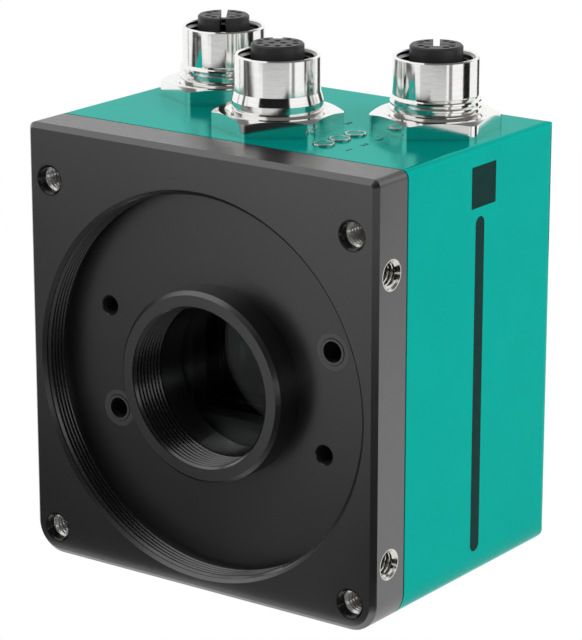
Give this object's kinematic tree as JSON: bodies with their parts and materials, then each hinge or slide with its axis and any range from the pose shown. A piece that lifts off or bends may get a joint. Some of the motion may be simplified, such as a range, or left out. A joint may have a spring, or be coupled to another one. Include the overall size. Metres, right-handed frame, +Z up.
{
  "type": "vision sensor",
  "caption": "Compact industrial vision sensor with a threaded lens boss in a round recess, a painted housing and round screw sockets with locknuts on top.",
  "frame": {"origin": "under the middle of the body, at the level of its bottom face, halfway between the front and back faces", "axes": "-Y is the way the sensor looks, out of the lens boss; +Z is up, along the sockets; +X is to the side that carries the status lights"},
  "size_m": [0.065, 0.049, 0.0821],
  "materials": {
    "black_anodised": "black anodised, satin",
    "teal_paint": "gloss powder coat",
    "stainless": "turned",
    "black_steel": "blackened",
    "nickel": "nickel plated, polished",
    "core_plastic": "moulded",
    "contact_gold": "gold plated",
    "window_glass": "coated optical glass",
    "mask_plastic": "matt",
    "ceramic": "fired ceramic",
    "silicon": "polished die",
    "circuit_board": "solder mask",
    "brass": "turned",
    "connector_plastic": "moulded",
    "chip_resin": "moulded resin",
    "thermal_pad": "soft",
    "lamp_resin": "clear resin",
    "light_pipe": "tinted clear",
    "seal_rubber": "matt"
  },
  "bodies": {
    "root": {"front_plate": "black_anodised", "front_thread_inserts": "stainless", "side_thread_inserts": "stainless", "recess_bushes": "black_steel", "window_glass": "window_glass", "window_gasket": "seal_rubber", "sensor_mask": "mask_plastic", "mask_screws": "stainless", "sensor_package": "ceramic", "sensor_die": "silicon", "sensor_cover_glass": "window_glass", "sensor_board": "circuit_board", "board_spacers": "brass", "board_link_plug": "connector_plastic", "board_link_receptacle": "connector_plastic", "processor_board": "circuit_board", "processor_board_screws": "stainless", "processor_chip": "chip_resin", "memory_chips": "chip_resin", "thermal_pad": "thermal_pad", "pin_header": "connector_plastic", "socket_board": "circuit_board", "socket_board_screws": "stainless", "status_lamps": "lamp_resin", "status_light_pipes": "light_pipe", "housing": "teal_paint", "housing_seal": "seal_rubber", "tie_screws": "stainless", "left_socket_body": "nickel", "left_socket_core": "core_plastic", "left_socket_contacts": "contact_gold", "left_socket_nut": "nickel", "left_socket_seal": "seal_rubber", "middle_socket_body": "nickel", "middle_socket_core": "core_plastic", "middle_socket_contacts": "contact_gold", "middle_socket_nut": "nickel", "middle_socket_seal": "seal_rubber", "right_socket_body": "nickel", "right_socket_core": "core_plastic", "right_socket_contacts": "contact_gold", "right_socket_nut": "nickel", "right_socket_seal": "seal_rubber"}
  },
  "joints": []
}
